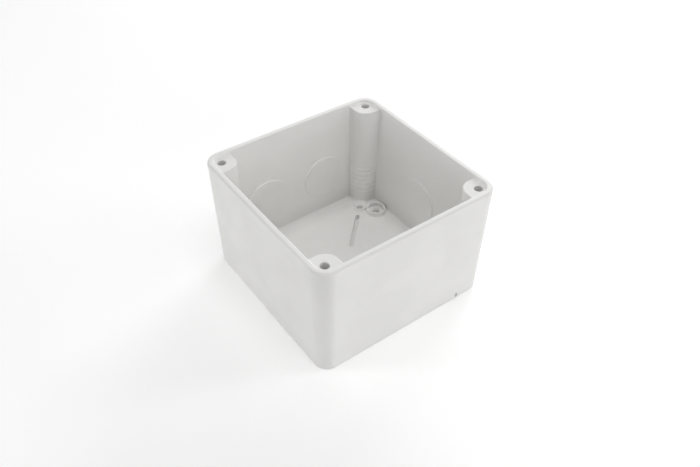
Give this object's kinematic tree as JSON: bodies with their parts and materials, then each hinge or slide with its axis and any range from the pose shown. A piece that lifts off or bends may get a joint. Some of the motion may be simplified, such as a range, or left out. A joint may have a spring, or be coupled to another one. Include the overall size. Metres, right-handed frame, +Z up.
{
  "type": "junction box",
  "caption": "Open-topped square moulded plastic junction box with corner screw posts, a slotted floor and round blanks over its conduit entries.",
  "frame": {"origin": "middle of the underside, which rests on the wall or table", "axes": "+Z up out of the open mouth, +Y towards the back wall with two entries, +X towards the right wall with one entry"},
  "size_m": [0.101, 0.101, 0.064],
  "materials": {
    "base_plastic": "light grey moulded plastic, low gloss outside and satin inside",
    "blank_plastic": "the same light grey moulded plastic as the base"
  },
  "bodies": {
    "base": {"box_base": "base_plastic"},
    "blank_front_left": {"blank_front_left": "blank_plastic"},
    "blank_front_right": {"blank_front_right": "blank_plastic"},
    "blank_back_left": {"blank_back_left": "blank_plastic"},
    "blank_back_right": {"blank_back_right": "blank_plastic"},
    "blank_left": {"blank_left": "blank_plastic"},
    "blank_right": {"blank_right": "blank_plastic"}
  },
  "joints": [
    {"name": "blank_front_left_out", "type": "slide", "parent": "base", "child": "blank_front_left", "axis": [0, -1, 0], "range_m": [0, 0.012]},
    {"name": "blank_front_right_out", "type": "slide", "parent": "base", "child": "blank_front_right", "axis": [0, -1, 0], "range_m": [0, 0.012]},
    {"name": "blank_back_left_out", "type": "slide", "parent": "base", "child": "blank_back_left", "axis": [0, 1, 0], "range_m": [0, 0.012]},
    {"name": "blank_back_right_out", "type": "slide", "parent": "base", "child": "blank_back_right", "axis": [0, 1, 0], "range_m": [0, 0.012]},
    {"name": "blank_left_out", "type": "slide", "parent": "base", "child": "blank_left", "axis": [-1, 0, 0], "range_m": [0, 0.012]},
    {"name": "blank_right_out", "type": "slide", "parent": "base", "child": "blank_right", "axis": [1, 0, 0], "range_m": [0, 0.012]}
  ]
}
